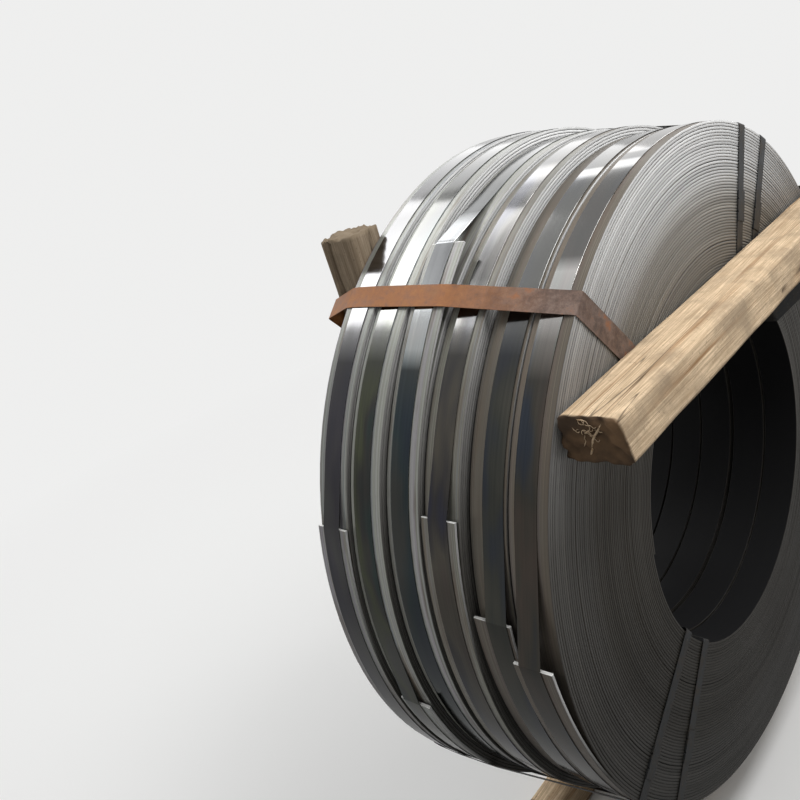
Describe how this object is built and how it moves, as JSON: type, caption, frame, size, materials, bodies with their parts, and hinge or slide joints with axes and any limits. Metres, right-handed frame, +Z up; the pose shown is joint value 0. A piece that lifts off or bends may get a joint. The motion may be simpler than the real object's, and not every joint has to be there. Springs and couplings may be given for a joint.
{
  "type": "strapped pack of slit steel strip coils",
  "caption": "Pack of narrow slit steel strip coils on a common bore, with sprung strip ends, steel straps, spacer timbers and cross skids.",
  "frame": {"origin": "on the axis of the common bore, at the middle of the pack's length", "axes": "-X out of the bore at its open end, +Z up, -Y the side that the strip ends face"},
  "size_m": [0.4748, 1.0265, 1.084],
  "materials": {
    "strip_steel": "hot rolled and pickled, satin",
    "strap_steel": "bright blued strapping",
    "seal_steel": "crimped, bright",
    "rusty_steel": "rusted",
    "dark_strap_steel": "dark waxed strapping",
    "timber": "rough sawn"
  },
  "bodies": {
    "root": {"coil_1": "strip_steel", "coil_2": "strip_steel", "coil_3": "strip_steel", "coil_4": "strip_steel", "coil_5": "strip_steel", "coil_6": "strip_steel", "coil_strap_1": "strap_steel", "coil_strap_2": "strap_steel", "coil_strap_3": "strap_steel", "coil_strap_4": "strap_steel", "coil_strap_5": "strap_steel", "coil_strap_6": "strap_steel", "coil_strap_seal_1": "seal_steel", "coil_strap_seal_2": "seal_steel", "coil_strap_seal_3": "seal_steel", "coil_strap_seal_4": "seal_steel", "coil_strap_seal_5": "seal_steel", "coil_strap_seal_6": "seal_steel", "corner_timber": "timber", "lower_strap_1": "dark_strap_steel", "lower_strap_1_seal": "seal_steel", "lower_strap_2": "dark_strap_steel", "lower_strap_2_seal": "seal_steel", "rear_strap": "dark_strap_steel", "rear_strap_seal": "seal_steel", "rusty_strap": "rusty_steel", "rusty_strap_seal": "rusty_steel", "skid_left": "timber", "skid_right": "timber", "spacer_timber": "timber", "upper_strap_1": "dark_strap_steel", "upper_strap_1_seal": "seal_steel", "upper_strap_2": "dark_strap_steel", "upper_strap_2_seal": "seal_steel"}
  },
  "joints": []
}
